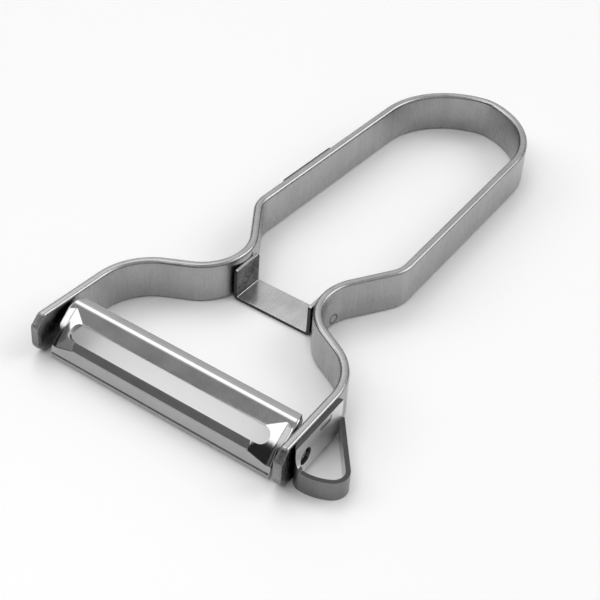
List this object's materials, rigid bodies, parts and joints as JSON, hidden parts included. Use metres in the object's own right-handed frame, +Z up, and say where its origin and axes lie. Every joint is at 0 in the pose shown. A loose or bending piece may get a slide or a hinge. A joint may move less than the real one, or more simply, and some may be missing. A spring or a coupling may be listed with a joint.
{
  "type": "vegetable peeler",
  "caption": "Y-shaped steel vegetable peeler: bent strip handle, slotted swivel blade between the arms, and a side loop for cutting out eyes.",
  "frame": {"origin": "on the table plane under the brace, midway between the sides of the neck where it is narrowest", "axes": "+X across towards the arm that carries the eye remover, +Y towards the handle, +Z up from the table that the peeler lies on"},
  "size_m": [0.0743, 0.1356, 0.01],
  "materials": {
    "band_steel": "satin stainless steel, fine grain across the strip",
    "brace_steel": "satin stainless steel",
    "blade_steel": "polished stainless steel with a ground edge",
    "rivet_steel": "turned stainless steel",
    "eye_steel": "satin stainless steel",
    "plate_steel": "satin stainless steel, blank"
  },
  "bodies": {
    "frame": {"frame_band": "band_steel", "cross_brace": "brace_steel", "pivot_rivet_left": "rivet_steel", "pivot_rivet_right": "rivet_steel", "eye_remover": "eye_steel", "label_plate": "plate_steel"},
    "blade": {"swivel_blade": "blade_steel"}
  },
  "joints": [
    {"name": "blade_swivel", "type": "hinge", "parent": "frame", "child": "blade", "pos_m": [0, -0.03823, 0.0049], "axis": [1, 0, 0], "range_deg": [-4, 106]}
  ]
}
